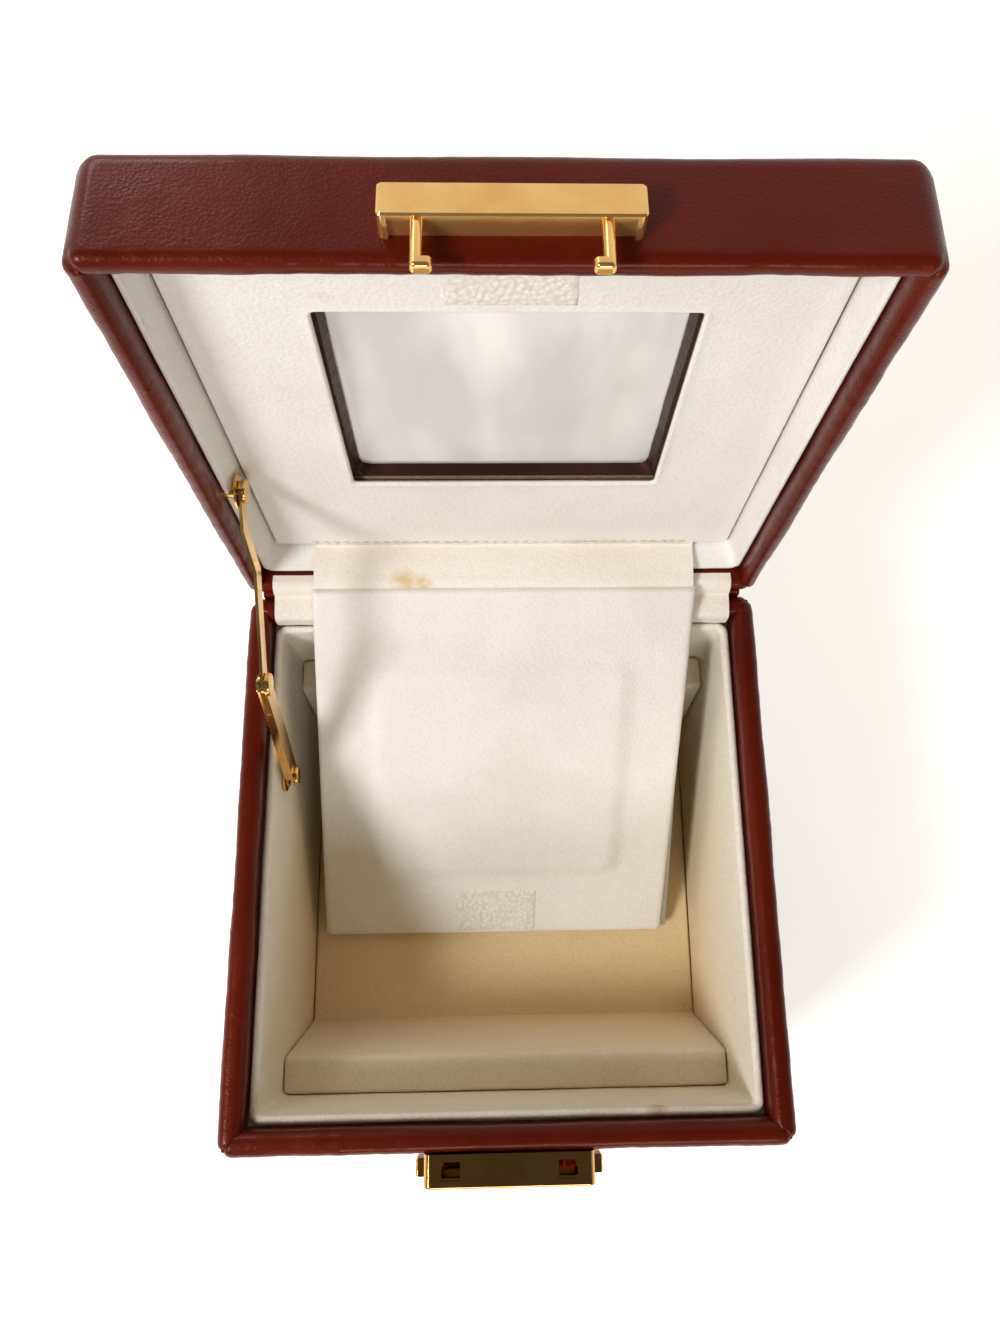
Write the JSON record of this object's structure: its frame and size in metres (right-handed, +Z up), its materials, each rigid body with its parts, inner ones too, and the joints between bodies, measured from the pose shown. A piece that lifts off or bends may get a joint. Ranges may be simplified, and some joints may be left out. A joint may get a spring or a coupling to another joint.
{
  "type": "jewellery box with drawer",
  "caption": "Square leather-covered jewellery box standing open: padded cream lining, picture window in the lid with an inner flap, push-button lock, brass lid stay and a drawer in the base",
  "frame": {"origin": "middle of the underside the box stands on", "axes": "+Z up, +X right seen from the front, front faces -Y"},
  "size_m": [0.13, 0.1675, 0.2352],
  "materials": {
    "brown_leather": "glossy fine-grained dark red-brown leather cloth",
    "cream_cloth": "cream suede cloth over board and thin foam",
    "board": "unfinished fibreboard",
    "card": "stiff grey card",
    "foot_cloth": "dark brown felt",
    "brass": "bright brass plate",
    "clear_film": "thin clear plastic, slightly hazy",
    "hook_and_loop": "cream hook-and-loop tape"
  },
  "bodies": {
    "base": {"base_carcass": "board", "base_leather": "brown_leather", "base_foot_cloth": "foot_cloth", "lining_floor": "cream_cloth", "lining_left": "cream_cloth", "lining_right": "cream_cloth", "lining_front": "cream_cloth", "lining_back": "cream_cloth", "ledge_front": "cream_cloth", "ledge_back": "cream_cloth", "lock_case": "brass", "lock_back_plate": "brass", "lock_rivets": "brass", "catch_spring": "brass", "runner_left": "board", "runner_right": "board", "drawer_stop": "board", "hinge_leather": "brown_leather", "hinge_gusset": "cream_cloth", "stay_base_pivot": "brass"},
    "lid": {"lid_carcass": "board", "lid_leather": "brown_leather", "lid_panel": "cream_cloth", "lid_strip_left": "cream_cloth", "lid_strip_right": "cream_cloth", "lid_strip_front": "cream_cloth", "lid_strip_back": "cream_cloth", "lid_patch": "hook_and_loop", "window_film": "clear_film", "lock_bar": "brass", "hook_left": "brass", "hook_right": "brass", "bar_rivets": "brass", "stay_lid_pivot": "brass", "flap_strip": "cream_cloth"},
    "flap": {"flap_board": "card", "flap_cover": "cream_cloth", "flap_patch": "hook_and_loop"},
    "stay_upper": {"stay_upper_arm": "brass"},
    "stay_lower": {"stay_lower_arm": "brass", "stay_knee_rivet": "brass"},
    "drawer": {"drawer_box": "board", "drawer_front": "board", "drawer_front_leather": "brown_leather", "drawer_lining": "cream_cloth", "drawer_knob": "brass", "drawer_screw": "brass"},
    "catch_left": {"catch_left": "brass"},
    "catch_right": {"catch_right": "brass"}
  },
  "joints": [
    {"name": "lid_hinge", "type": "hinge", "parent": "base", "child": "lid", "pos_m": [0, 0.0653, 0.10015], "axis": [1, 0, 0], "range_deg": [0, 93.2], "deforming": ["hinge_leather", "hinge_gusset"]},
    {"name": "flap_fold", "type": "hinge", "parent": "lid", "child": "flap", "pos_m": [0, 0.07101, 0.10882], "axis": [1, 0, 0], "range_deg": [-133.76, 0], "deforming": ["flap_strip"]},
    {"name": "stay_lid_turn", "type": "hinge", "parent": "lid", "child": "stay_upper", "pos_m": [-0.0565, 0.07378, 0.14705], "axis": [1, 0, 0], "range_deg": [-96.2, 0]},
    {"name": "stay_base_turn", "type": "hinge", "parent": "base", "child": "stay_lower", "pos_m": [-0.0547, 0.0214, 0.0846], "axis": [1, 0, 0], "range_deg": [0, 111.19]},
    {"name": "drawer_slide", "type": "slide", "parent": "base", "child": "drawer", "axis": [0, -1, 0], "range_m": [0, 0.085]},
    {"name": "catch_left_slide", "type": "slide", "parent": "base", "child": "catch_left", "axis": [1, 0, 0], "range_m": [0, 0.0015], "stiffness_N_per_m": 60, "deforming": ["catch_spring"]},
    {"name": "catch_right_slide", "type": "slide", "parent": "base", "child": "catch_right", "axis": [-1, 0, 0], "range_m": [0, 0.0015], "stiffness_N_per_m": 60, "deforming": ["catch_spring"]}
  ],
  "couplings": [
    {"joint": "flap_fold", "follows": "lid_hinge", "ratio": -1.432},
    {"joint": "stay_lid_turn", "follows": "lid_hinge", "ratio": -1.029},
    {"joint": "stay_base_turn", "follows": "lid_hinge", "ratio": 1.1898}
  ]
}
